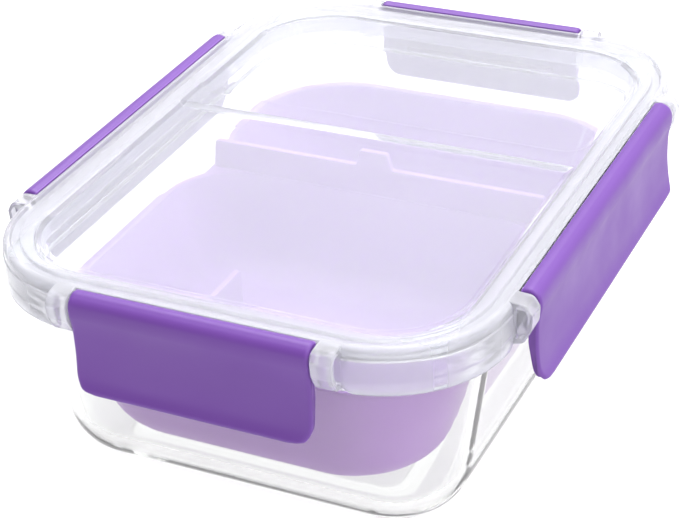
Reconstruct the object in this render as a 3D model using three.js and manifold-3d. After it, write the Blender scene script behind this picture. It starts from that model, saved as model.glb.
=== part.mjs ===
// Bento lunch box: a clear glass dish, a divided tray inside it, and a lid with a seal and four flip latches.
// Millimetres, +Z up, X across the width, Y along the length with the front at -Y.
// The origin is the centre of the box on the surface that it stands on.

import * as THREE from 'three';
import { mergeVertices } from 'three/addons/utils/BufferGeometryUtils.js';
import Module from 'manifold-3d';

const wasm = await Module();
wasm.setup();

// ---- driving dimensions ----

const CORNER_STEPS = 8; // straight pieces in each quarter turn of a plan corner
const FILLET_STEPS = 4; // straight pieces in each rounded edge
const GAP = 0.3; // between pieces that touch

// The lid's outer wall in plan. Heights and insets of every other piece are counted from it.
const OUTLINE = { halfX: 75.5, halfY: 100.3, corner: 35 };
const LEAST_CORNER = 6; // plan corner radius of everything far inside the outline

const GLASS = {
  rimZ: 67.2, // top of the rim
  flangeZ: 56.5, // underside of the rim flange, where the latches hook
  flangeInset: 2.2,
  wallInset: 5.9, // outside of the wall just below the flange
  taper: THREE.MathUtils.degToRad(9),
  wall: 3.6,
  floor: 4.6,
  outerFillet: 18,
  innerFillet: 14,
  footInset: 35.5, // inner edge of the flat ring that the box stands on
  footDepth: 0.6,
};

const LID = {
  topZ: 72,
  skirtZ: 57.9, // bottom of the corner skirts
  skirt: 1.7, // skirt thickness
  channelZ: 69.7, // ceiling of the channel that holds the seal
  grooveZ: 70.9,
  panelZ: 70.4,
  panel: 1.6, // panel thickness
  plugInset: 9,
  plugWidth: 1.4,
  plugZ: 63.8,
  ridgeY: 14.5,
  ridgeTop: 5,
  ridgeBase: 8,
  ridgeZ: 71.7,
};

const HINGE = {
  outset: 2.1, // hinge axis, outside the lid's outer wall
  z: 68.7,
  rod: 1.6, // radius
  sweep: 4.4, // radius kept free for the turning head of a latch
};

const LATCH = {
  shortLength: 71,
  longLength: 117,
  bore: HINGE.rod + GAP,
  mouth: 2.6, // opening of the clip, narrower than the rod
  mouthDepth: 6,
  mouthTilt: THREE.MathUtils.degToRad(-35),
  drop: 26.4, // from the hinge axis to the lowest point of the lip
  cornerRadius: 6,
  ribReach: 5.7, // from the hinge axis towards the box
  ribMargin: 9, // from the latch's end to the end of its snap rib
  ribGap: 0.5, // under the flange of the glass
};

const EAR = { width: 6.3, gap: 0.5, windowHeight: 5.3, windowCorner: 5 };

const TRAY = {
  rimZ: 48,
  rim: { halfX: 64.1, halfY: 85.6, corner: 32 },
  rimThickness: 1.8,
  rimOverhang: 1.6,
  bottomZ: 12,
  bottom: { halfX: 50.5, halfY: 81.5, corner: 25.5 },
  wall: 1.8,
  bottomFillet: 9,
  bridgeFrontY: 12.5, // the bridge between the two wells, front and rear faces
  bridgeRearY: 22,
  frontWellCorner: 20, // plan corners of the wells at the bridge
  rearWellCorner: 16,
  crossWall: { halfX: 55.5, thickness: 2, topZ: 57.5, setBack: 0.3 },
  tab: { halfX: 6, halfTop: 4.6, topZ: 62.8 },
  fin: { x: -19.5, thickness: 1.8, rearY: -41 },
  notch: { fromX: 57, frontY: -9, rearY: 40 }, // finger notches at the two ends of the bridge
};

// ---- materials ----

const glassMaterial = new THREE.MeshStandardMaterial({
  color: 0xeef6f2, roughness: 0.04, metalness: 0, transparent: true, opacity: 0.35,
});
const lidMaterial = new THREE.MeshStandardMaterial({
  color: 0xe9eaf2, roughness: 0.35, metalness: 0, transparent: true, opacity: 0.6,
});
const gasketMaterial = new THREE.MeshStandardMaterial({
  color: 0xdfe6ea, roughness: 0.55, metalness: 0, transparent: true, opacity: 0.75,
});
const latchMaterial = new THREE.MeshStandardMaterial({ color: 0x8a5fb8, roughness: 0.38, metalness: 0 });
const trayMaterial = new THREE.MeshStandardMaterial({ color: 0xb898dc, roughness: 0.42, metalness: 0 });

// ---- solids from three.js geometry ----

// Turns a closed geometry into a solid that can be joined and cut.
function solid(geometry) {
  const bare = geometry.clone();
  bare.deleteAttribute('normal');
  bare.deleteAttribute('uv');
  const merged = mergeVertices(bare, 1e-4);
  const corners = merged.index.array;
  const kept = [];
  for (let i = 0; i < corners.length; i += 3) {
    const [a, b, c] = [corners[i], corners[i + 1], corners[i + 2]];
    if (a !== b && b !== c && c !== a) kept.push(a, b, c);
  }
  return new wasm.Manifold(new wasm.Mesh({
    numProp: 3,
    vertProperties: merged.attributes.position.array,
    triVerts: new Uint32Array(kept),
  }));
}

function geometryOf(body) {
  const mesh = body.getMesh();
  const geometry = new THREE.BufferGeometry();
  geometry.setAttribute('position', new THREE.BufferAttribute(mesh.vertProperties, 3));
  geometry.setIndex(new THREE.BufferAttribute(mesh.triVerts, 1));
  geometry.computeVertexNormals();
  return geometry;
}

// Replaces each corner [x, y, radius] of a line by an arc. A closed line also rounds its first and last corner.
function rounded(corners, closed = false) {
  const count = corners.length;
  const points = [];
  corners.forEach(([x, y, radius = 0], i) => {
    const corner = new THREE.Vector2(x, y);
    const atEnd = !closed && (i === 0 || i === count - 1);
    if (!radius || atEnd) {
      points.push(corner);
      return;
    }
    const back = new THREE.Vector2(...corners[(i + count - 1) % count]).sub(corner).normalize();
    const ahead = new THREE.Vector2(...corners[(i + 1) % count]).sub(corner).normalize();
    const half = Math.acos(THREE.MathUtils.clamp(back.dot(ahead), -1, 1)) / 2;
    const reach = radius / Math.tan(half);
    const centre = back.clone().add(ahead).normalize().multiplyScalar(radius / Math.sin(half)).add(corner);
    const from = back.clone().multiplyScalar(reach).add(corner).sub(centre);
    const to = ahead.clone().multiplyScalar(reach).add(corner).sub(centre);
    const turn = Math.atan2(from.cross(to), from.dot(to));
    for (let k = 0; k <= FILLET_STEPS; k += 1) {
      const arm = from.clone().rotateAround(new THREE.Vector2(), (turn * k) / FILLET_STEPS);
      points.push(arm.add(centre));
    }
  });
  return points;
}

// A solid whose every level is a rounded rectangle { halfX, halfY, corner, z }, with the levels in order from the
// underside outwards and up. The lathe makes the four corners, which then move apart.
function roundedRectangleSolid(levels) {
  const segments = 4 * CORNER_STEPS;
  const step = (2 * Math.PI) / segments;
  const profile = levels.map(({ corner, z }) => new THREE.Vector2(corner / Math.cos(step / 2), z));
  const geometry = new THREE.LatheGeometry(profile, segments, step / 2);
  geometry.rotateX(Math.PI / 2);
  const position = geometry.attributes.position;
  for (let i = 0; i < position.count; i += 1) {
    const level = levels[i % levels.length];
    const turn = (Math.floor(i / levels.length) % segments + 0.5) * step;
    position.setX(i, position.getX(i) + Math.sign(Math.sin(turn)) * (level.halfX - level.corner));
    position.setY(i, position.getY(i) - Math.sign(Math.cos(turn)) * (level.halfY - level.corner));
  }
  return solid(geometry);
}

// Closes a line of levels with a flat underside and a flat top.
function capped(levels) {
  const middle = ({ z }) => ({ halfX: 0, halfY: 0, corner: 0, z });
  return [middle(levels[0]), ...levels, middle(levels[levels.length - 1])];
}

// A solid from corners [inset, z, radius], where the inset is from the lid's outer wall. A closed line makes a
// ring, and an open one is capped.
function insetSolid(corners, closed = false) {
  const levels = rounded(corners, closed).map(({ x: inset, y: z }) => ({
    halfX: OUTLINE.halfX - inset,
    halfY: OUTLINE.halfY - inset,
    corner: Math.max(OUTLINE.corner - inset, LEAST_CORNER),
    z,
  }));
  return roundedRectangleSolid(closed ? [...levels, levels[0]] : capped(levels));
}

// A shape in the plane of the first two axes, extruded along the third and centred on it.
function extruded(points, depth) {
  const geometry = new THREE.ExtrudeGeometry(new THREE.Shape(points), { depth, bevelEnabled: false, steps: 1 });
  geometry.translate(0, 0, -depth / 2);
  return geometry;
}

// A section drawn as [outward, up], extruded along Y and facing +X.
function alongEdge(points, length) {
  return extruded(points, length).rotateX(Math.PI / 2);
}

function box(x0, x1, y0, y1, z0, z1) {
  const geometry = new THREE.BoxGeometry(x1 - x0, y1 - y0, z1 - z0);
  return solid(geometry.translate((x0 + x1) / 2, (y0 + y1) / 2, (z0 + z1) / 2));
}

// ---- the four latched sides ----

const SIDES = [
  { name: 'front', turn: -Math.PI / 2, half: OUTLINE.halfY, length: LATCH.shortLength },
  { name: 'rear', turn: Math.PI / 2, half: OUTLINE.halfY, length: LATCH.shortLength },
  { name: 'left', turn: Math.PI, half: OUTLINE.halfX, length: LATCH.longLength },
  { name: 'right', turn: 0, half: OUTLINE.halfX, length: LATCH.longLength },
];

// Moves a geometry drawn about the hinge axis of the right side to its own side of the lid.
function atHinge(geometry, side) {
  return geometry.translate(side.half + HINGE.outset, 0, HINGE.z).rotateZ(side.turn);
}

// ---- glass dish ----

function glassWallInset(z) {
  return GLASS.wallInset + (GLASS.flangeZ - z) * Math.tan(GLASS.taper);
}

function makeGlassBase() {
  const through = GLASS.wall / Math.cos(GLASS.taper);
  const innerWallFoot = glassWallInset(GLASS.floor) + through;
  return insetSolid([
    [GLASS.footInset + GLASS.footDepth, GLASS.footDepth],
    [GLASS.footInset, 0],
    [glassWallInset(0), 0, GLASS.outerFillet],
    [glassWallInset(GLASS.flangeZ), GLASS.flangeZ, 0.8],
    [GLASS.flangeInset, GLASS.flangeZ, 1],
    [GLASS.flangeInset, GLASS.rimZ, 1.2],
    [glassWallInset(GLASS.rimZ) + through, GLASS.rimZ, 0.8],
    [innerWallFoot, GLASS.floor, GLASS.innerFillet],
    [innerWallFoot + GLASS.innerFillet, GLASS.floor],
  ]);
}

// ---- tray ----

// A tapered tub between two rounded rectangles, with a rounded edge round its bottom.
function tub(top, bottom, topZ, bottomZ, fillet) {
  const levels = [];
  const steps = FILLET_STEPS + 1;
  for (let k = 0; k <= steps; k += 1) {
    const angle = (Math.PI / 2) * (k / steps);
    const drawIn = fillet * (1 - Math.sin(angle));
    const z = bottomZ + fillet * (1 - Math.cos(angle));
    const rise = (z - bottomZ) / (topZ - bottomZ);
    const size = (key) => THREE.MathUtils.lerp(bottom[key], top[key], rise) - drawIn;
    levels.push({ halfX: size('halfX'), halfY: size('halfY'), corner: size('corner'), z });
  }
  levels.push({ ...top, z: topZ });
  return roundedRectangleSolid(capped(levels));
}

function shrunk(size, by) {
  return { halfX: size.halfX - by, halfY: size.halfY - by, corner: size.corner - by };
}

function trayTub() {
  return tub(shrunk(TRAY.rim, TRAY.rimOverhang), TRAY.bottom, TRAY.rimZ, TRAY.bottomZ, TRAY.bottomFillet);
}

function trayRim() {
  const edge = 0.4;
  const under = TRAY.rimZ - TRAY.rimThickness;
  return roundedRectangleSolid(capped([
    { ...shrunk(TRAY.rim, edge), z: under },
    { ...TRAY.rim, z: under + edge },
    { ...TRAY.rim, z: TRAY.rimZ - edge },
    { ...shrunk(TRAY.rim, edge), z: TRAY.rimZ },
  ]));
}

// The shape of one well: the tray's own shape without its wall, cut off by a face that leans at the bridge.
// Without a wall it is the outside of the well.
function wellShape({ frontY, rearY, corner }, wall) {
  const lean = 3;
  const above = TRAY.rimZ + 1;
  const floorZ = TRAY.bottomZ + wall;
  const fillet = TRAY.bottomFillet - 1;
  const top = shrunk(TRAY.rim, TRAY.rimOverhang + wall);
  const bottom = shrunk(TRAY.bottom, wall);
  const outwards = TRAY.wall - wall;
  const halfY = (rearY - frontY) / 2 + outwards;
  const plan = corner + outwards;
  const sliceTop = { halfX: top.halfX, halfY, corner: plan };
  const sliceBottom = { halfX: bottom.halfX, halfY: halfY - lean, corner: plan - lean };
  const slice = tub(sliceTop, sliceBottom, above, floorZ, fillet).translate([0, (frontY + rearY) / 2, 0]);
  return slice.intersect(tub(top, bottom, above, floorZ, fillet));
}

// The bridge between the wells is hollow from below, like the rest of the moulding.
function bridgeGroove() {
  const lean = 1.5;
  const front = TRAY.bridgeFrontY + TRAY.wall;
  const rear = TRAY.bridgeRearY - TRAY.wall;
  const section = [
    new THREE.Vector2(front - lean, TRAY.bottomZ - 1),
    new THREE.Vector2(rear + lean, TRAY.bottomZ - 1),
    new THREE.Vector2(rear, TRAY.rimZ - TRAY.wall),
    new THREE.Vector2(front, TRAY.rimZ - TRAY.wall),
  ];
  return solid(alongEdge(section, 2 * TRAY.rim.halfX + 2).rotateZ(Math.PI / 2));
}

// The wall that stands on the bridge, with the lift tab in the middle of its top edge.
function raisedWall() {
  const { crossWall, tab } = TRAY;
  const outline = rounded([
    [-crossWall.halfX - 1, TRAY.rimZ - 0.5],
    [crossWall.halfX + 1, TRAY.rimZ - 0.5],
    [crossWall.halfX, crossWall.topZ, 1.2],
    [tab.halfX, crossWall.topZ],
    [tab.halfTop, tab.topZ, 1],
    [-tab.halfTop, tab.topZ, 1],
    [-tab.halfX, crossWall.topZ],
    [-crossWall.halfX, crossWall.topZ, 1.2],
  ], true);
  const middleY = TRAY.bridgeFrontY + crossWall.setBack + crossWall.thickness / 2;
  return solid(extruded(outline, crossWall.thickness).rotateX(Math.PI / 2).translate(0, middleY, 0));
}

// The fin grows out of the front wall of the front well.
function trayFin() {
  const { x, thickness, rearY } = TRAY.fin;
  const fin = box(
    x - thickness / 2, x + thickness / 2,
    -TRAY.rim.halfY, rearY,
    TRAY.bottomZ, TRAY.rimZ - GAP,
  );
  return fin.intersect(trayTub());
}

// What is cut away beside the bridge, so that the tray's outline follows the round corners of the wells.
function sideNotches(wells) {
  const { fromX, frontY, rearY } = TRAY.notch;
  const beyondSide = TRAY.rim.halfX + 1;
  const [bottom, top] = [TRAY.bottomZ - 1, TRAY.rimZ + 1];
  let notches = box(fromX, beyondSide, frontY, rearY, bottom, top)
    .add(box(-beyondSide, -fromX, frontY, rearY, bottom, top));
  wells.forEach((well) => {
    notches = notches.subtract(wellShape(well, 0));
  });
  return notches;
}

function makeFoodTray() {
  const beyondEnd = TRAY.rim.halfY + 2;
  const wells = [
    { frontY: -beyondEnd, rearY: TRAY.bridgeFrontY, corner: TRAY.frontWellCorner },
    { frontY: TRAY.bridgeRearY, rearY: beyondEnd, corner: TRAY.rearWellCorner },
  ];
  let tray = trayTub().add(trayRim()).subtract(bridgeGroove()).subtract(sideNotches(wells));
  wells.forEach((well) => {
    tray = tray.subtract(wellShape(well, TRAY.wall));
  });
  return tray.add(raisedWall()).add(trayFin());
}

// ---- lid ----

function lidShell() {
  const panelUnder = LID.panelZ - LID.panel;
  const plugInner = LID.plugInset + LID.plugWidth;
  return insetSolid([
    // the underside: plug rib, seal channel and skirt
    [plugInner, panelUnder],
    [plugInner, LID.plugZ, 0.4],
    [LID.plugInset, LID.plugZ, 0.4],
    [LID.plugInset, LID.channelZ],
    [LID.skirt, LID.channelZ, 0.3],
    [LID.skirt, LID.skirtZ, 0.4],
    [0, LID.skirtZ, 0.6],
    // the outside: a fine step, the edge band, the groove, the raised ring and the sunken panel
    [0, LID.topZ - 3.8],
    [0.3, LID.topZ - 3.4],
    [0.3, LID.topZ, 1.6],
    [2.4, LID.topZ, 0.5],
    [2.9, LID.grooveZ],
    [5, LID.grooveZ],
    [5.4, LID.topZ, 0.6],
    [9.1, LID.topZ - 0.4, 0.8],
    [10.8, LID.panelZ],
  ]);
}

// The raised bar across the lid between its two sunken panels.
function lidRidge() {
  const half = OUTLINE.halfX - 9.4;
  const section = [
    [-LID.ridgeBase / 2, LID.panelZ - 0.5],
    [LID.ridgeBase / 2, LID.panelZ - 0.5],
    [LID.ridgeTop / 2, LID.ridgeZ, 0.5],
    [-LID.ridgeTop / 2, LID.ridgeZ, 0.5],
  ];
  return solid(alongEdge(rounded(section, true), 2 * half)
    .rotateZ(Math.PI / 2)
    .translate(0, LID.ridgeY, 0));
}

// The space that one latch needs in the lid: no skirt behind it, a round-ended window below the ears,
// and a round recess in the lid's edge for the head to turn in.
function latchSpace(side) {
  const clear = side.length / 2 + EAR.gap;
  const window = clear + EAR.width - 0.8;
  const flare = window + EAR.windowCorner + 2;
  const ceiling = LID.channelZ - HINGE.z;
  const foot = LID.skirtZ - HINGE.z;
  const windowTop = foot + EAR.windowHeight;
  const half = [
    [clear, ceiling],
    [clear, windowTop],
    [window, windowTop],
    [window, foot, EAR.windowCorner],
    [flare, foot - 0.01],
    [flare, foot - 1],
  ];
  const mirrored = half.map(([along, ...rest]) => [-along, ...rest]).reverse();
  const outset = EAR.width;
  const inset = GLASS.flangeInset;
  const slab = extruded(rounded([...half, ...mirrored]), outset + inset)
    .rotateX(Math.PI / 2)
    .rotateZ(Math.PI / 2)
    .translate((outset - inset) / 2 - HINGE.outset, 0, 0);
  const recess = new THREE.CylinderGeometry(HINGE.sweep, HINGE.sweep, 2 * clear, 32);
  return solid(atHinge(slab, side)).add(solid(atHinge(recess, side)));
}

// The two ears beside one latch and the rod between them.
function latchHinge(side) {
  const root = -HINGE.outset - LID.skirt + 0.1;
  const section = rounded([
    [root, LID.topZ - HINGE.z],
    [1.4, 3, 2.4],
    [3.2, 0, 2],
    [2.9, -4.2, 3],
    [0.6, -8.8, 2],
    [root, -9.9],
  ], true);
  const centre = side.length / 2 + EAR.gap + EAR.width / 2;
  const ears = [-1, 1].map((end) => solid(atHinge(
    alongEdge(section, EAR.width).translate(0, end * centre, 0), side,
  )));
  const rod = new THREE.CylinderGeometry(HINGE.rod, HINGE.rod, 2 * centre, 20);
  return ears[0].add(ears[1]).add(solid(atHinge(rod, side)));
}

function makeLid() {
  let lid = lidShell().add(lidRidge());
  SIDES.forEach((side) => {
    lid = lid.subtract(latchSpace(side));
  });
  SIDES.forEach((side) => {
    lid = lid.add(latchHinge(side));
  });
  return lid;
}

// ---- seal ----

function makeGasket() {
  const bottom = GLASS.rimZ + GAP;
  const top = LID.channelZ - GAP;
  return insetSolid([
    [8.6, bottom + 0.5],
    [7.4, bottom, 0.3],
    [6.2, bottom + 0.5],
    [4.6, bottom + 0.5],
    [3.8, bottom],
    [2.7, bottom],
    [2.7, top, 0.3],
    [8.6, top, 0.3],
  ], true);
}

// ---- latches ----

// The section of a latch about its hinge axis, as [outward, up]: a head round the rod and a slightly waisted
// leg that ends in a lip to pull.
function latchSection() {
  return rounded([
    [-2.3, 3.25],
    [-0.4, 3.9, 2.6],
    [2.6, 2.3, 3.4],
    [3.3, -1.2, 8],
    [2.2, -6, 26],
    [2.1, -15, 58],
    [3, -22.2, 10],
    [4.6, 1.3 - LATCH.drop, 1],
    [3.4, -LATCH.drop, 1.2],
    [1.4, 1.3 - LATCH.drop, 1.6],
    [0.1, -18, 8],
    [-0.7, -13, 8],
    [-0.7, -3.4, 0.8],
    [-2.4, -2.2, 1],
    [-3.1, 0.8, 0.8],
  ], true);
}

function makeLatch(side) {
  const leg = solid(alongEdge(latchSection(), side.length));

  // The face outline rounds the two lower corners.
  const half = side.length / 2;
  const above = 6;
  const below = -LATCH.drop - 0.6;
  const face = rounded([
    [-half, above],
    [-half, below, LATCH.cornerRadius],
    [half, below, LATCH.cornerRadius],
    [half, above],
  ], true);
  const outline = solid(extruded(face, 2 * LATCH.drop).rotateX(Math.PI / 2).rotateZ(Math.PI / 2));

  // The rib that snaps under the flange of the glass rim.
  const ribTop = GLASS.flangeZ - LATCH.ribGap - HINGE.z;
  const rib = solid(alongEdge(rounded([
    [-LATCH.ribReach, ribTop, 0.4],
    [0.6, ribTop],
    [0.6, ribTop - 4],
    [0.8 - LATCH.ribReach, ribTop - 1.6, 0.4],
  ], true), side.length - 2 * LATCH.ribMargin));

  // The clip: a bore round the rod, open towards the box so that the latch clicks on.
  const through = side.length + 2;
  const bore = solid(new THREE.CylinderGeometry(LATCH.bore, LATCH.bore, through, 24));
  const mouth = solid(new THREE.BoxGeometry(LATCH.mouthDepth, through, LATCH.mouth)
    .translate(-LATCH.mouthDepth / 2, 0, 0)
    .rotateY(LATCH.mouthTilt));
  return leg.intersect(outline).add(rib).subtract(bore).subtract(mouth);
}

// ---- assembly ----

const bentoBox = new THREE.Group();

function addPart(name, body, material) {
  const mesh = new THREE.Mesh(geometryOf(body), material);
  mesh.name = name;
  bentoBox.add(mesh);
  return mesh;
}

addPart('glass_base', makeGlassBase(), glassMaterial);
addPart('food_tray', makeFoodTray(), trayMaterial);
addPart('lid', makeLid(), lidMaterial);
addPart('lid_gasket', makeGasket(), gasketMaterial);

SIDES.forEach((side) => {
  const latch = addPart(`latch_${side.name}`, makeLatch(side), latchMaterial);
  latch.position.set(side.half + HINGE.outset, 0, HINGE.z)
    .applyAxisAngle(new THREE.Vector3(0, 0, 1), side.turn);
  latch.rotation.z = side.turn;
});

export default bentoBox;
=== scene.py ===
import math

import bmesh
import bpy
from mathutils import Matrix, Vector


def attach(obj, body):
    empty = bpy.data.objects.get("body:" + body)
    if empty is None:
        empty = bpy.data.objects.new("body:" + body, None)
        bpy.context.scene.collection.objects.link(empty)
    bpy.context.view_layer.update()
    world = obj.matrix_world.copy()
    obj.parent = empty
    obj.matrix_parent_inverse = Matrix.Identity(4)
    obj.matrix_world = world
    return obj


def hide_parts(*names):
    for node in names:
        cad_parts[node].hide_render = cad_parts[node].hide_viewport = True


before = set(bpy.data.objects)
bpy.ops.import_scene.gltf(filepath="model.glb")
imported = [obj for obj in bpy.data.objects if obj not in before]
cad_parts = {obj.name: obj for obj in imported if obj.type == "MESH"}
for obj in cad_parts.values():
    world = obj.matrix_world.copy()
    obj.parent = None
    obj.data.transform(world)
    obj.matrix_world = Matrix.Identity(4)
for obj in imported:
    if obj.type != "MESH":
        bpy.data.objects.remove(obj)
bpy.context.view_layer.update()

# ---- driving dimensions, in millimetres ----
# They are the CAD's, apart from softer edges, the panels' gentler slope and the edge of the latches' heads.

MM = 0.001
EDGE_STEPS = 6  # straight pieces in each rounded edge
CORNER_STEPS = 20  # straight pieces in each quarter turn of a plan corner

OUTLINE = dict(half_x=75.5, half_y=100.3, corner=35)
LEAST_CORNER = 6

GLASS = dict(rim_z=67.2, flange_z=56.5, flange_inset=2.2, wall_inset=5.9, taper=math.radians(9), wall=3.6,
             floor=4.6, outer_fillet=18, inner_fillet=14, foot_inset=35.5, foot_depth=0.6)

LID = dict(top_z=72, skirt_z=57.9, skirt=1.7, channel_z=69.7, groove_z=70.9, deck_z=71.6, panel_z=70.4,
           panel=1.6, plug_inset=9, plug_width=1.4, plug_z=63.8)
PANELS = dict(inset=9.4, slope=3, ridge_front=11.1, ridge_rear=18.4, front_corner=1.6, rear_corner=9,
              least_corner=0.4)

HINGE = dict(outset=2.1, z=68.7, rod=1.6, sweep=4.4)
LATCH = dict(short=71, long=117, bore=1.9, mouth=2.6, mouth_tilt=-35, drop=26.4, corner=6,
             rib_reach=5.7, rib_margin=9, rib_gap=0.5, rib_root=0.6, rib_height=4)
EAR = dict(width=6.3, gap=0.5, window=5.3, window_corner=5)

TRAY = dict(rim_z=48, half_x=64.1, half_y=85.6, corner=32, rim=1.8, overhang=1.6, bottom_z=12,
            bottom=(50.5, 81.5, 25.5), wall=1.8, fillet=9, lean=3)
BRIDGE = dict(front=12.5, rear=22, front_corner=20, rear_corner=16, groove_flare=1.5,
              notch_x=57, notch_front=-9, notch_rear=40, notch_round=2)
CROSS_WALL = dict(half=55.5, thickness=2, top_z=57.5, middle_y=13.8, root=1, tab_half=6, tab_top_half=4.6,
                  tab_z=62.8)
FIN = dict(x=-19.5, thickness=1.8, rear=-41, lean=0.6)

SIDES = [
    dict(name="front", turn=-90, half=OUTLINE["half_y"], length=LATCH["short"]),
    dict(name="rear", turn=90, half=OUTLINE["half_y"], length=LATCH["short"]),
    dict(name="left", turn=180, half=OUTLINE["half_x"], length=LATCH["long"]),
    dict(name="right", turn=0, half=OUTLINE["half_x"], length=LATCH["long"]),
]


# ---- outlines ----

def rounded(corners, closed=True, steps=EDGE_STEPS):
    """Replaces each corner (x, y, radius) of a line by an arc."""
    count = len(corners)
    points = []
    for i, corner in enumerate(corners):
        here = Vector(corner[:2])
        radius = corner[2] if len(corner) > 2 else 0
        if not radius or (not closed and i in (0, count - 1)):
            points.append(here)
            continue
        back = (Vector(corners[i - 1][:2]) - here).normalized()
        ahead = (Vector(corners[(i + 1) % count][:2]) - here).normalized()
        half = back.angle(ahead) / 2
        centre = here + (back + ahead).normalized() * (radius / math.sin(half))
        arm = here + back * (radius / math.tan(half)) - centre
        end = here + ahead * (radius / math.tan(half)) - centre
        turn = math.atan2(arm.x * end.y - arm.y * end.x, arm.dot(end))
        for k in range(steps + 1):
            points.append(centre + Matrix.Rotation(turn * k / steps, 2) @ arm)
    return points


def plan(half_x, half_y, corner, middle_y=0):
    """A rounded rectangle seen from above."""
    low, high = middle_y - half_y, middle_y + half_y
    corners = [(half_x, low, corner), (half_x, high, corner), (-half_x, high, corner), (-half_x, low, corner)]
    return rounded(corners, steps=CORNER_STEPS)


def inset_plan(inset):
    """The lid's outline, moved inwards."""
    corner = max(OUTLINE["corner"] - inset, LEAST_CORNER)
    return plan(OUTLINE["half_x"] - inset, OUTLINE["half_y"] - inset, corner)


def glass_inset(z):
    return GLASS["wall_inset"] + (GLASS["flange_z"] - z) * math.tan(GLASS["taper"])


# ---- meshes ----

def mesh_object(name, points, faces):
    """An object from points in millimetres, with all of its faces turned outwards."""
    mesh = bpy.data.meshes.new(name)
    mesh.from_pydata([Vector(p) * MM for p in points], [], faces)
    grid = bmesh.new()
    grid.from_mesh(mesh)
    bmesh.ops.remove_doubles(grid, verts=grid.verts, dist=0.002 * MM)
    bmesh.ops.recalc_face_normals(grid, faces=grid.faces)
    grid.to_mesh(mesh)
    grid.free()
    made = bpy.data.objects.new(name, mesh)
    bpy.context.scene.collection.objects.link(made)
    return made


def loft(name, sections, ring=False):
    """A closed skin over sections of equally many points, capped at both ends or joined up as a ring."""
    count = len(sections[0])
    points = [p for section in sections for p in section]
    faces = []
    last = len(sections) if ring else len(sections) - 1
    for level in range(last):
        low = level * count
        high = ((level + 1) % len(sections)) * count
        for i in range(count):
            j = (i + 1) % count
            faces.append((low + i, low + j, high + j, high + i))
    if not ring:
        faces.append(tuple(range(count)))
        faces.append(tuple(range(last * count, (last + 1) * count)))
    return mesh_object(name, points, faces)


def at_height(points, z):
    return [(p.x, p.y, z) for p in points]


def inset_loft(name, corners, ring=False):
    """A solid from (inset, z, radius) corners, where the inset is from the lid's outline."""
    line = rounded(corners, closed=ring)
    return loft(name, [at_height(inset_plan(p.x), p.y) for p in line], ring)


def along_y(name, corners, length, middle=0, closed_line=None):
    """A section drawn as (outward, up), extruded along Y."""
    line = closed_line or rounded(corners)
    ends = (middle - length / 2, middle + length / 2)
    return loft(name, [[(p.x, y, p.y) for p in line] for y in ends])


def cylinder(name, radius, length, steps=40):
    circle = [Vector((radius * math.cos(2 * math.pi * k / steps), radius * math.sin(2 * math.pi * k / steps)))
              for k in range(steps)]
    return along_y(name, None, length, closed_line=circle)


def slab_x(name, corners, x0, x1):
    """A face drawn as (along Y, up), extruded along X."""
    line = rounded(corners)
    return loft(name, [[(x, p.x, p.y) for p in line] for x in (x0, x1)])


def to_hinge(made, side):
    """Moves a piece drawn about the right side's hinge axis to its own side."""
    turn = Matrix.Rotation(math.radians(side["turn"]), 4, "Z")
    shift = Matrix.Translation(Vector((side["half"] + HINGE["outset"], 0, HINGE["z"])) * MM)
    made.data.transform(turn @ shift)
    return made


def settle(made):
    """Turns an object's modifiers into plain mesh."""
    bpy.context.view_layer.update()
    graph = bpy.context.evaluated_depsgraph_get()
    mesh = bpy.data.meshes.new_from_object(made.evaluated_get(graph))
    made.modifiers.clear()
    made.data = mesh
    return made


def combine(made, operation, *tools):
    """Joins, cuts or intersects an object with others, which are used up."""
    for tool in tools:
        boolean = made.modifiers.new(tool.name, "BOOLEAN")
        boolean.operation = operation
        boolean.solver = "MANIFOLD"
        boolean.object = tool
        settle(made)
        bpy.data.objects.remove(tool)
    return made


def soften(made, width, steps=3, angle=40):
    """Rounds the sharp edges."""
    bevel = made.modifiers.new("bevel", "BEVEL")
    bevel.width = width * MM
    bevel.segments = steps
    bevel.limit_method = "ANGLE"
    bevel.angle_limit = math.radians(angle)
    bevel.use_clamp_overlap = True
    bevel.miter_outer = "MITER_ARC"
    return settle(made)


def finish_piece(made, material, body, node, sharp=35):
    """Shades a piece, gives it its material, and hangs it on its CAD body in place of the CAD node."""
    made.data.shade_smooth()
    made.data.set_sharp_from_angle(angle=math.radians(sharp))
    normals = made.modifiers.new("normals", "WEIGHTED_NORMAL")
    normals.keep_sharp = True
    normals.weight = 80
    made.data.materials.clear()
    made.data.materials.append(material)
    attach(made, body)
    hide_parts(node)
    return made


# ---- materials ----

def principled(name, **values):
    """A new material with a Principled BSDF, and its nodes and links."""
    material = bpy.data.materials.new(name)
    material.use_nodes = True
    shader = material.node_tree.nodes["Principled BSDF"]
    for key, value in values.items():
        shader.inputs[key].default_value = value
    return material, shader


def coordinates(tree, scale=(1, 1, 1)):
    place = tree.nodes.new("ShaderNodeTexCoord")
    mapping = tree.nodes.new("ShaderNodeMapping")
    mapping.inputs["Scale"].default_value = scale
    tree.links.new(place.outputs["Object"], mapping.inputs["Vector"])
    return mapping.outputs["Vector"]


def noise(tree, scale, detail=3, stretch=(1, 1, 1)):
    """Noise with that many spots in each metre."""
    texture = tree.nodes.new("ShaderNodeTexNoise")
    texture.inputs["Scale"].default_value = scale
    texture.inputs["Detail"].default_value = detail
    tree.links.new(coordinates(tree, stretch), texture.inputs["Vector"])
    return texture.outputs["Fac"]


def spread(tree, source, low, high, start=0.3, end=0.7):
    """Maps a noise to a range of values."""
    node = tree.nodes.new("ShaderNodeMapRange")
    node.inputs["From Min"].default_value = start
    node.inputs["From Max"].default_value = end
    node.inputs["To Min"].default_value = low
    node.inputs["To Max"].default_value = high
    tree.links.new(source, node.inputs["Value"])
    return node.outputs["Result"]


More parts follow.
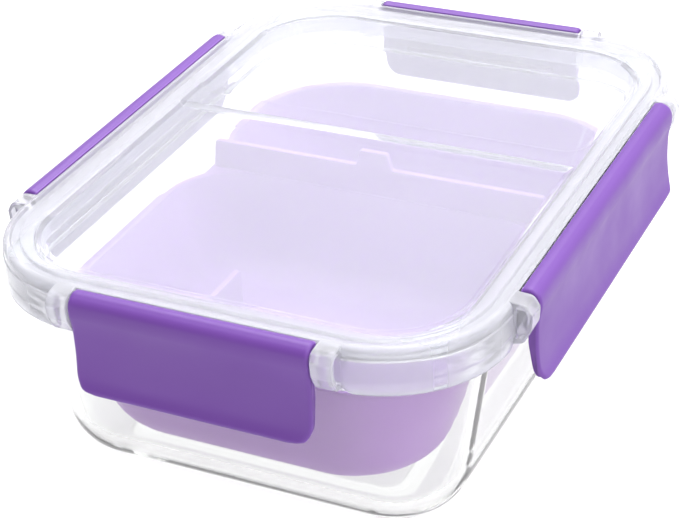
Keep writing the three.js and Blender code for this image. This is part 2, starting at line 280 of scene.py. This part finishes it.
def blend_colour(tree, factor, first, second):
    mix = tree.nodes.new("ShaderNodeMix")
    mix.data_type = "RGBA"
    tree.links.new(factor, mix.inputs["Factor"])
    for key, value in (("A", first), ("B", second)):
        socket = next(s for s in mix.inputs if s.name == key and s.type == "RGBA")
        if isinstance(value, tuple):
            socket.default_value = (*value, 1)
        else:
            tree.links.new(value, socket)
    return next(s for s in mix.outputs if s.type == "RGBA")


def bump(tree, shader, layers):
    """Stacks bumps of (height source, height in millimetres, strength)."""
    normal = None
    for source, height, strength in layers:
        node = tree.nodes.new("ShaderNodeBump")
        node.inputs["Distance"].default_value = height * MM
        node.inputs["Strength"].default_value = strength
        tree.links.new(source, node.inputs["Height"])
        if normal:
            tree.links.new(normal, node.inputs["Normal"])
        normal = node.outputs["Normal"]
    tree.links.new(normal, shader.inputs["Normal"])


def edge_wear_and_highlight(tree, low=0.52, high=0.6):
    """A mask of the convex edges, where a paler colour stands for light wear and a painted edge highlight."""
    geometry = tree.nodes.new("ShaderNodeNewGeometry")
    return spread(tree, geometry.outputs["Pointiness"], 0, 1, low, high)


def moulded_plastic(name, colour, wear_and_highlight_colour, roughness, **values):
    """Opaque moulded plastic: faint flow marks, a fine pebbled skin, and paler edges, which are partly light
    wear and partly a painted highlight.
    """
    material, shader = principled(name, **values)
    tree = material.node_tree
    flow = noise(tree, 22, stretch=(1, 1, 2.4))
    darker = tuple(c * 0.93 for c in colour)
    base = blend_colour(tree, spread(tree, flow, 0, 1), colour, darker)
    speckle = noise(tree, 900, 1)
    base = blend_colour(tree, spread(tree, speckle, 0, 0.03), base, tuple(min(c * 1.25, 1) for c in colour))
    # paler convex edges: partly light wear, partly a painted edge highlight
    base = blend_colour(tree, edge_wear_and_highlight(tree), base, wear_and_highlight_colour)
    tree.links.new(base, shader.inputs["Base Color"])
    smudge = noise(tree, 45)
    tree.links.new(spread(tree, smudge, roughness - 0.06, roughness + 0.08), shader.inputs["Roughness"])
    bump(tree, shader, [(speckle, 0.01, 0.02), (flow, 0.15, 0.08)])
    return material


def clear_glass():
    material, shader = principled("clear_glass", **{
        "Base Color": (0.985, 0.995, 0.99, 1), "Transmission Weight": 0.95, "IOR": 1.34, "Roughness": 0.01})
    tree = material.node_tree
    smudge = noise(tree, 30, 4)
    tree.links.new(spread(tree, smudge, 0.0, 0.035), shader.inputs["Roughness"])
    tint = blend_colour(tree, noise(tree, 8), (0.93, 0.94, 0.93), (0.945, 0.952, 0.945))
    tree.links.new(tint, shader.inputs["Base Color"])
    bump(tree, shader, [(noise(tree, 14, 1), 0.6, 0.05)])
    return material


def maths(tree, operation, *values):
    """A Math node from numbers and sockets."""
    node = tree.nodes.new("ShaderNodeMath")
    node.operation = operation
    for socket, value in zip(node.inputs, values):
        if isinstance(value, (int, float)):
            socket.default_value = value
        else:
            tree.links.new(value, socket)
    return node.outputs["Value"]


def rim_mask(tree):
    """0 over the lid's panels and 1 over its rim, skirts and ears, which are thicker and satin."""
    split = tree.nodes.new("ShaderNodeSeparateXYZ")
    tree.links.new(coordinates(tree), split.inputs["Vector"])
    beyond = []
    for axis, key in (("X", "half_x"), ("Y", "half_y")):
        edge = (OUTLINE[key] - PANELS["inset"]) * MM
        beyond.append(maths(tree, "SUBTRACT", maths(tree, "ABSOLUTE", split.outputs[axis]), edge))
    return spread(tree, maths(tree, "MAXIMUM", *beyond), 0, 1, -1.5 * MM, 1 * MM)


def milky_plastic(name, colour, rim_colour, clear, rim_clear, roughness, rim_roughness):
    """Translucent plastic with a fine skin: see-through in the panels, milky and satin in the thick rim."""
    material, shader = principled(name, **{"IOR": 1.2, "Specular IOR Level": 0.9})
    tree = material.node_tree
    rim = rim_mask(tree)
    tree.links.new(spread(tree, rim, clear, rim_clear, 0, 1), shader.inputs["Transmission Weight"])
    cloud = noise(tree, 16, 2)
    thin = tuple(min(c * 1.03, 1) for c in colour)
    panel = blend_colour(tree, spread(tree, cloud, 0, 1), colour, thin)
    tree.links.new(blend_colour(tree, rim, panel, rim_colour), shader.inputs["Base Color"])
    rub = noise(tree, 60, 4, stretch=(1, 3, 1))
    satin = maths(tree, "MULTIPLY", rim, rim_roughness - roughness)
    rough = maths(tree, "ADD", satin, spread(tree, rub, roughness - 0.02, roughness + 0.03))
    tree.links.new(rough, shader.inputs["Roughness"])
    bump(tree, shader, [(noise(tree, 700, 1), 0.01, 0.05), (cloud, 0.3, 0.05)])
    return material


# ---- glass dish ----

def make_glass():
    through = GLASS["wall"] / math.cos(GLASS["taper"])
    inner_foot = glass_inset(GLASS["floor"]) + through
    dish = inset_loft("glass_dish", [
        (GLASS["foot_inset"] + GLASS["foot_depth"], GLASS["foot_depth"]),
        (GLASS["foot_inset"], 0),
        (glass_inset(0), 0, GLASS["outer_fillet"]),
        (glass_inset(GLASS["flange_z"]), GLASS["flange_z"], 0.8),
        (GLASS["flange_inset"], GLASS["flange_z"], 1),
        (GLASS["flange_inset"], GLASS["rim_z"], 1.2),
        (glass_inset(GLASS["rim_z"]) + through, GLASS["rim_z"], 0.8),
        (inner_foot, GLASS["floor"], GLASS["inner_fillet"]),
        (inner_foot + GLASS["inner_fillet"], GLASS["floor"]),
    ])
    finish_piece(dish, clear_glass(), "dish", "glass_base")


# ---- tray ----

def tray_size(z, by=0):
    """Half width, half length and corner of the tray's outside at a height, made smaller by a wall."""
    rise = (z - TRAY["bottom_z"]) / (TRAY["rim_z"] - TRAY["bottom_z"])
    top = [TRAY[key] - TRAY["overhang"] for key in ("half_x", "half_y", "corner")]
    return [low + (high - low) * rise - by for low, high in zip(TRAY["bottom"], top)]


def tub(name, size_at, top_z, bottom_z, fillet, steps=8):
    """A tapered tub with a rounded edge round its bottom.

    size_at(z) gives its half width, half length, corner and middle along Y.
    """
    sections = []
    for k in range(steps + 1):
        angle = math.pi / 2 * k / steps
        z = bottom_z + fillet * (1 - math.cos(angle))
        half_x, half_y, corner, middle = size_at(z)
        draw = fillet * (1 - math.sin(angle))
        sections.append(at_height(plan(half_x - draw, half_y - draw, corner - draw, middle), z))
    half_x, half_y, corner, middle = size_at(top_z)
    sections.append(at_height(plan(half_x, half_y, corner, middle), top_z))
    return loft(name, sections)


def tray_well(front, rear, corner, wall=TRAY["wall"]):
    """The hollow of one well, or with no wall the shape of its outside. It leans at the bridge."""
    above, floor, fillet = TRAY["rim_z"] + 1, TRAY["bottom_z"] + wall, TRAY["fillet"] - 1
    outwards = TRAY["wall"] - wall

    def slice_size(z):
        drawn = TRAY["lean"] * (above - z) / (above - floor) - outwards
        return tray_size(z, wall)[0] + 0.001, (rear - front) / 2 - drawn, corner - drawn, (front + rear) / 2

    well = tub("well", slice_size, above, floor, fillet)
    inside = tub("inside", lambda z: (*tray_size(z, wall), 0), above, floor, fillet)
    return combine(well, "INTERSECT", inside)


def both_wells(wall=TRAY["wall"]):
    beyond = TRAY["half_y"] + 2
    return [tray_well(-beyond, BRIDGE["front"], BRIDGE["front_corner"], wall),
            tray_well(BRIDGE["rear"], beyond, BRIDGE["rear_corner"], wall)]


def tray_rim():
    line = rounded([(2, -TRAY["rim"]), (0, -TRAY["rim"], 0.6), (0, 0, 0.7), (2, 0)], closed=False)
    return loft("rim", [at_height(plan(TRAY["half_x"] - p.x, TRAY["half_y"] - p.x, TRAY["corner"] - p.x),
                                  TRAY["rim_z"] + p.y) for p in line])


def bridge_groove():
    """The hollow under the bridge, between the two wells."""
    front, rear, flare = BRIDGE["front"] + TRAY["wall"], BRIDGE["rear"] - TRAY["wall"], BRIDGE["groove_flare"]
    top_z, bottom_z = TRAY["rim_z"] - TRAY["wall"], TRAY["bottom_z"] - 1
    section = [(front - flare, bottom_z), (rear + flare, bottom_z), (rear, top_z, 1), (front, top_z, 1)]
    return slab_x("groove", section, -OUTLINE["half_x"], OUTLINE["half_x"])


def side_notch(side):
    """What is cut away at one end of the bridge, round the outsides of the wells."""
    near, far = BRIDGE["notch_x"], TRAY["half_x"] + 2
    flare, bend = 3, BRIDGE["notch_round"]
    shoulder = TRAY["half_x"] - TRAY["overhang"]
    front, rear = BRIDGE["notch_front"], BRIDGE["notch_rear"]
    line = rounded([(near, front), (shoulder, front, bend), (far, front - flare), (far, rear + flare),
                    (shoulder, rear, bend), (near, rear)])
    outline = [Vector((side * p.x, p.y)) for p in line]
    notch = loft("notch", [at_height(outline, z) for z in (TRAY["bottom_z"] - 1, TRAY["rim_z"] + 1)])
    skin = -0.05  # the notch stops this far outside the walls
    return combine(notch, "DIFFERENCE", *both_wells(skin))


def cross_wall():
    """The wall along the bridge, with the tab that it is lifted by."""
    half, top_z, root_z = CROSS_WALL["half"], CROSS_WALL["top_z"], TRAY["rim_z"] - 0.5
    thickness = CROSS_WALL["thickness"]
    right_end = [(half + CROSS_WALL["root"], root_z), (half, top_z, 1.2),
                 (CROSS_WALL["tab_half"], top_z, 0.8), (CROSS_WALL["tab_top_half"], CROSS_WALL["tab_z"], 1)]
    left_end = [(-corner[0], *corner[1:]) for corner in reversed(right_end)]
    wall = slab_x("wall", right_end + left_end, -thickness / 2, thickness / 2)
    soften(wall, 0.4)
    turn = Matrix.Rotation(math.pi / 2, 4, "Z")
    wall.data.transform(Matrix.Translation(Vector((0, CROSS_WALL["middle_y"], 0)) * MM) @ turn)
    return wall


def tray_fin():
    """The low wall that divides the front well."""
    front, rear, half = -TRAY["half_y"], FIN["rear"], FIN["thickness"] / 2
    top_z, bottom_z = TRAY["rim_z"] - 0.3, TRAY["bottom_z"]
    section = [(front, bottom_z), (rear - FIN["lean"], bottom_z), (rear, top_z, 1.5), (front, top_z)]
    fin = slab_x("fin", section, FIN["x"] - half, FIN["x"] + half)
    soften(fin, 0.35)
    sunk = 0.2  # how deep the fin's edges end inside the tray's walls
    inside = tub("inside", lambda z: (*tray_size(z, sunk), 0), TRAY["rim_z"], bottom_z + sunk, TRAY["fillet"])
    return combine(fin, "INTERSECT", inside)


def make_tray():
    tray = tub("divided_tray", lambda z: (*tray_size(z), 0), TRAY["rim_z"], TRAY["bottom_z"], TRAY["fillet"])
    combine(tray, "UNION", tray_rim())
    combine(tray, "DIFFERENCE", bridge_groove(), side_notch(1), side_notch(-1), *both_wells())
    combine(tray, "UNION", cross_wall(), tray_fin())
    # the second colour is the paler edge colour: light wear and a painted edge highlight
    material = moulded_plastic("lilac_plastic", (0.47, 0.24, 0.67), (0.58, 0.38, 0.75), 0.42)
    finish_piece(tray, material, "tray", "food_tray", 30)


# ---- lid ----

def lid_shell():
    plug_inner = LID["plug_inset"] + LID["plug_width"]
    return inset_loft("milky_lid", [
        (plug_inner, LID["panel_z"] - LID["panel"]),
        (plug_inner, LID["plug_z"], 0.5),
        (LID["plug_inset"], LID["plug_z"], 0.5),
        (LID["plug_inset"], LID["channel_z"]),
        (LID["skirt"], LID["channel_z"], 0.3),
        (LID["skirt"], 61.7, 0.3),
        (LID["skirt"] - 0.45, 61.3, 0.3),
        (LID["skirt"] - 0.45, LID["skirt_z"], 0.4),
        (0, LID["skirt_z"], 0.6),
        (0, LID["top_z"] - 3.8, 0.2),
        (0.3, LID["top_z"] - 3.4, 0.2),
        (0.3, LID["top_z"], 1.6),
        (2.4, LID["top_z"], 0.5),
        (2.9, LID["groove_z"], 0.3),
        (5, LID["groove_z"], 0.3),
        (5.4, LID["top_z"], 0.6),
        (9.1, LID["deck_z"], 1),
        (12, LID["deck_z"]),
    ])


def panel_pocket(name, front, rear, front_corner, rear_corner):
    """The sunken panel between two Y positions, with its own corner radius at the front and the rear."""
    sections = []
    for drawn, z in ((0, LID["deck_z"] + 0.5), (0.4, LID["deck_z"] - 0.1), (2.2, LID["panel_z"] + 0.15),
                     (PANELS["slope"], LID["panel_z"])):
        half_x = OUTLINE["half_x"] - PANELS["inset"] - drawn
        front_radius = max(front_corner - drawn, PANELS["least_corner"])
        rear_radius = max(rear_corner - drawn, PANELS["least_corner"])
        corners = [(half_x, front + drawn, front_radius), (half_x, rear - drawn, rear_radius),
                   (-half_x, rear - drawn, rear_radius), (-half_x, front + drawn, front_radius)]
        sections.append(at_height(rounded(corners, steps=CORNER_STEPS), z))
    return loft(name, sections)


def latch_space(side):
    """Cuts the skirt away behind a latch, with a round-ended window below the ears."""
    clear = side["length"] / 2 + EAR["gap"]
    window = clear + EAR["width"] - 0.8
    flare = window + EAR["window_corner"] + 2
    foot = LID["skirt_z"] - HINGE["z"]
    top = foot + EAR["window"]
    half = [(clear, LID["channel_z"] - HINGE["z"]), (clear, top), (window, top),
            (window, foot, EAR["window_corner"]), (flare, foot - 0.01), (flare, foot - 1)]
    mirrored = [(-c[0], *c[1:]) for c in reversed(half)]
    slab = slab_x("slab", half + mirrored, -HINGE["outset"] - GLASS["flange_inset"], 4.2)
    recess = cylinder("recess", HINGE["sweep"], 2 * clear)
    return to_hinge(slab, side), to_hinge(recess, side)


def ear_section(shrink=0):
    """The ear's outline about the hinge axis, as (outward, up)."""
    root = -HINGE["outset"] - LID["skirt"] + 0.1
    return [(root, LID["top_z"] - HINGE["z"] - shrink), (1.4 - 0.5 * shrink, 3 - shrink, 2.4 - shrink),
            (3.2 - shrink, 0, 2), (2.9 - shrink, -4.2, 3), (0.6 - 0.7 * shrink, -8.8 + 0.6 * shrink, 2),
            (root, -9.9 + shrink)]


def make_ear(side, end):
    """An ear with soft edges and, on the side away from the latch, an arched hollow."""
    centre = end * (side["length"] / 2 + EAR["gap"] + EAR["width"] / 2)
    ear = along_y("ear", ear_section(), EAR["width"], centre)
    soften(ear, 0.45, angle=60)
    arch = [(-1.9, 1.6, 0.8), (1.0, 1.6, 1.2), (1.9, 0, 1), (1.6, -4, 1.4), (0.2, -7.2, 1.2), (-1.9, -8, 0.8)]
    hollow = along_y("hollow", arch, 5, centre + end * 3.6)
    combine(ear, "DIFFERENCE", hollow)
    return to_hinge(ear, side)


def make_lid():
    lid = lid_shell()
    edge = OUTLINE["half_y"] - PANELS["inset"]
    outer_corner = OUTLINE["corner"] - PANELS["inset"]
    combine(lid, "DIFFERENCE",
            panel_pocket("front_panel", -edge, PANELS["ridge_front"], outer_corner, PANELS["front_corner"]),
            panel_pocket("rear_panel", PANELS["ridge_rear"], edge, PANELS["rear_corner"], outer_corner))
    for side in SIDES:
        combine(lid, "DIFFERENCE", *latch_space(side))
    for side in SIDES:
        rod = cylinder("rod", HINGE["rod"], side["length"] + 2 * EAR["gap"] + 3)
        combine(lid, "UNION", make_ear(side, -1), make_ear(side, 1), to_hinge(rod, side))
    material = milky_plastic("milky_lid_plastic", (0.875, 0.885, 0.93), (0.80, 0.80, 0.85), clear=0.79,
                             rim_clear=0.71, roughness=0.04, rim_roughness=0.22)
    finish_piece(lid, material, "lid", "lid", 30)


def make_seal():
    bottom, top = GLASS["rim_z"] + 0.3, LID["channel_z"] - 0.3
    seal = inset_loft("seal_ring", [
        (8.6, bottom + 0.5, 0.2), (7.4, bottom, 0.3), (6.2, bottom + 0.5, 0.3), (4.6, bottom + 0.5, 0.3),
        (3.8, bottom, 0.2), (2.7, bottom, 0.2), (2.7, top, 0.3), (8.6, top, 0.3)], ring=True)
    pale = (0.94, 0.95, 0.96)
    material = milky_plastic("clear_silicone", pale, pale, clear=0.85, rim_clear=0.85, roughness=0.3,
                             rim_roughness=0.35)
    finish_piece(seal, material, "lid", "lid_gasket")


# ---- latches ----

def line_at(points, level):
    """x of a line at a height, by linear interpolation. The line runs downwards."""
    for high, low in zip(points, points[1:]):
        if low.y <= level <= high.y:
            share = (high.y - level) / max(high.y - low.y, 1e-9)
            return high.x + (low.x - high.x) * share
    return points[-1].x


def latch_lines():
    """The head's outer and inner lines, the leg's outer and inner lines at the same heights, and the tip.

    All are (outward, up) about the hinge axis.
    """
    drop, top = LATCH["drop"], -3.4
    tip_z = 1.3 - drop
    head_line = [(-2.65, 3.2, 0.5), (-0.4, 3.9, 2.6), (2.6, 2.3, 3.4), (3.3, -1.2, 8)]
    outer_line = [(2.2, -6, 26), (2.1, -15, 58), (3.0, -22.2, 10), (4.6, tip_z, 1), (3.4, -drop, 1.2)]
    inner_line = [(1.4, tip_z, 1.6), (0.1, -18, 8), (-0.7, -13, 8), (-0.7, top, 0.8)]
    clip_line = [(-2.4, -2.2, 1), (-3.1, 0.8, 0.8)]
    whole = rounded(head_line + outer_line + inner_line + clip_line, steps=10)
    lowest = min(range(len(whole)), key=lambda i: whole[i].y)
    outer = [p for p in whole[:lowest + 1] if p.y <= top + 2 and p.x > 0]
    inner = [p for p in reversed(whole[lowest:]) if p.y <= top + 0.5]
    inner.sort(key=lambda p: -p.y)
    bottom = whole[lowest].y
    tip, leg_steps, tip_steps = 2.4, 26, 8  # the lowest stretch is drawn in finer steps
    heights = [top - (top - bottom - tip) * k / leg_steps for k in range(leg_steps + 1)]
    heights += [bottom + tip * (1 - math.sin(math.pi / 2 * k / tip_steps)) for k in range(1, tip_steps)]
    head = [p for p in whole if p.y > top + 0.02]
    split = next(i for i, p in enumerate(head) if p.x < 0 and p.y < -1 and i > 4)
    leg_out = [Vector((line_at(outer, z), z)) for z in heights]
    leg_in = [Vector((line_at(inner, z), z)) for z in heights]
    return head[:split], head[split:], leg_out, leg_in, whole[lowest]


def soft_depth(distance, radius, depth):
    """How far a surface falls away near an edge with that rounding."""
    if distance >= radius:
        return 0
    return depth * (1 - math.sqrt(max(1 - (1 - distance / radius) ** 2, 0)))


def outward_normals(loop):
    """The outward direction at each point of a closed line."""
    turn = sum(a.x * b.y - a.y * b.x for a, b in zip(loop, loop[1:] + loop[:1]))
    flip = -1 if turn > 0 else 1
    normals = []
    for i in range(len(loop)):
        along = (loop[(i + 1) % len(loop)] - loop[i - 1]).normalized()
        normals.append(Vector((-along.y, along.x)) * flip)
    return normals


def latch_plate(name, length):
    """The latch without its rib and clip: a plate with soft side edges and rounded lower corners."""
    head_out, head_in, leg_out, leg_in, tip = latch_lines()
    loop = head_out + leg_out + [tip] + leg_in[::-1] + head_in
    normals = outward_normals(loop)
    half, corner, bottom = length / 2, LATCH["corner"], tip.y

    def reach(z):
        """Half the length at a height, less near the rounded lower corners."""
        lift = bottom + corner - z
        return half if lift <= 0 else half - corner + math.sqrt(max(corner ** 2 - lift ** 2, 0))

    steps = [0, 0.06, 0.2, 0.42, 0.7, 1.0, 1.35, 1.8, 2.6, 4, 6]  # finer where the end's edge is soft
    ends = [(-1, d) for d in steps] + [(1, d) for d in reversed(steps)]
    sections = []
    for sign, inward in ends:
        section = []
        for point, outward in zip(loop, normals):
            y = reach(point.y) - min(inward, reach(point.y))
            lift = bottom + corner - point.y
            beyond = y - (half - corner)
            gap = corner - math.hypot(lift, beyond) if lift > 0 and beyond > 0 else half - y
            outer = outward.x > 0.2 or outward.y > 0.6
            fall = soft_depth(max(gap, 0), 1.2 if outer else 0.6, 0.9 if outer else 0.4)
            moved = point - outward * fall
            section.append((moved.x, sign * y, moved.y))
        sections.append(section)
    return loft(name, sections)


def latch_rib(length):
    """The rib inside the leg that holds under the glass flange."""
    top = GLASS["flange_z"] - LATCH["rib_gap"] - HINGE["z"]
    root, reach = LATCH["rib_root"], LATCH["rib_reach"]
    section = [(-reach, top, 0.4), (root, top), (root, top - LATCH["rib_height"]),
               (0.8 - reach, top - 1.6, 0.4)]
    return soften(along_y("rib", section, length - 2 * LATCH["rib_margin"]), 0.25, angle=60)


def clip_mouth(length):
    """The slot through which the latch presses over its rod."""
    half, depth = LATCH["mouth"] / 2, 6
    mouth = along_y("mouth", [(-depth, -half), (0, -half), (0, half), (-depth, half)], length)
    mouth.data.transform(Matrix.Rotation(math.radians(LATCH["mouth_tilt"]), 4, "Y"))
    return mouth


def make_latch(side, material):
    length = side["length"]
    latch = latch_plate(f"flip_latch_{side['name']}", length)
    combine(latch, "UNION", latch_rib(length))
    beyond = length + 2
    combine(latch, "DIFFERENCE", cylinder("bore", LATCH["bore"], beyond), clip_mouth(beyond))
    to_hinge(latch, side)
    finish_piece(latch, material, f"{side['name']}_latch", f"latch_{side['name']}", 40)


# ---- studio ----

def make_floor():
    size = 3000
    corners = [(-size, -size, 0), (size, -size, 0), (size, size, 0), (-size, size, 0)]
    floor = mesh_object("studio_floor", corners, [(0, 1, 2, 3)])
    material, _ = principled("white_floor", **{"Base Color": (0.3, 0.3, 0.3, 1), "Roughness": 0.7,
                                               "Specular IOR Level": 0.1, "Emission Color": (1, 1, 1, 1),
                                               "Emission Strength": 0.88})
    floor.data.materials.append(material)


def make_lights():
    def softbox(name, place, target, size, power):
        data = bpy.data.lights.new(name, "AREA")
        data.shape = "RECTANGLE"
        data.size, data.size_y = size
        data.energy = power
        lamp = bpy.data.objects.new(name, data)
        lamp.location = place
        lamp.rotation_euler = (Vector(target) - Vector(place)).to_track_quat("-Z", "Y").to_euler()
        bpy.context.scene.collection.objects.link(lamp)

    softbox("top_softbox", (-0.1, 0.5, 1.3), (0, 0, 0), (1.2, 1.2), 22)
    softbox("right_softbox", (1.0, 0.2, 1.05), (0, 0, 0.04), (0.9, 0.7), 6.5)


def make_world():
    """White to the camera. To the object it is brighter above, behind and on the right than in front."""
    world = bpy.data.worlds.new("studio")
    bpy.context.scene.world = world
    world.use_nodes = True
    tree = world.node_tree
    place = tree.nodes.new("ShaderNodeTexCoord")
    direction = tree.nodes.new("ShaderNodeSeparateXYZ")
    tree.links.new(place.outputs["Generated"], direction.inputs["Vector"])
    strength = spread(tree, direction.outputs["Y"], 0.68, 1.15, -0.9, 0.9)
    for axis, low, high, start in (("X", 0.75, 1.25, -1), ("Z", 1.0, 1.45, 0)):
        share = spread(tree, direction.outputs[axis], low, high, start, 1)
        strength = maths(tree, "MULTIPLY", strength, share)
    path = tree.nodes.new("ShaderNodeLightPath")
    choice = tree.nodes.new("ShaderNodeMix")
    tree.links.new(path.outputs["Is Camera Ray"], choice.inputs["Factor"])
    tree.links.new(strength, choice.inputs["A"])
    choice.inputs["B"].default_value = 1
    tree.links.new(choice.outputs["Result"], tree.nodes["Background"].inputs["Strength"])
    tree.nodes["Background"].inputs["Color"].default_value = (1, 1, 1, 1)


def make_camera():
    azimuth, elevation, roll = math.radians(26.79), math.radians(30.74), math.radians(-3.15)
    ahead = Vector((-math.sin(azimuth) * math.cos(elevation), math.cos(azimuth) * math.cos(elevation),
                    -math.sin(elevation)))
    right = Vector((math.cos(azimuth), math.sin(azimuth), 0))
    up = right.cross(ahead)
    across = right * math.cos(roll) + up * math.sin(roll)
    upright = up * math.cos(roll) - right * math.sin(roll)
    data = bpy.data.cameras.new("photo_camera")
    data.lens = 102.6
    data.sensor_width = 36
    data.clip_start = 0.01
    camera = bpy.data.objects.new("photo_camera", data)
    turn = Matrix((across, upright, -ahead)).transposed().to_4x4()
    camera.matrix_world = Matrix.Translation(Vector((226.118, -461.598, 338.787)) * MM) @ turn
    bpy.context.scene.collection.objects.link(camera)
    bpy.context.scene.camera = camera


make_camera()
make_floor()
make_lights()
make_world()
make_glass()
make_tray()
make_lid()
make_seal()
# the second colour is the paler edge colour: light wear and a painted edge highlight
latch_plastic = moulded_plastic("purple_plastic", (0.125, 0.034, 0.28), (0.24, 0.11, 0.43), 0.42)
for latch_side in SIDES:
    make_latch(latch_side, latch_plastic)

bpy.context.scene.view_settings.view_transform = "Standard"
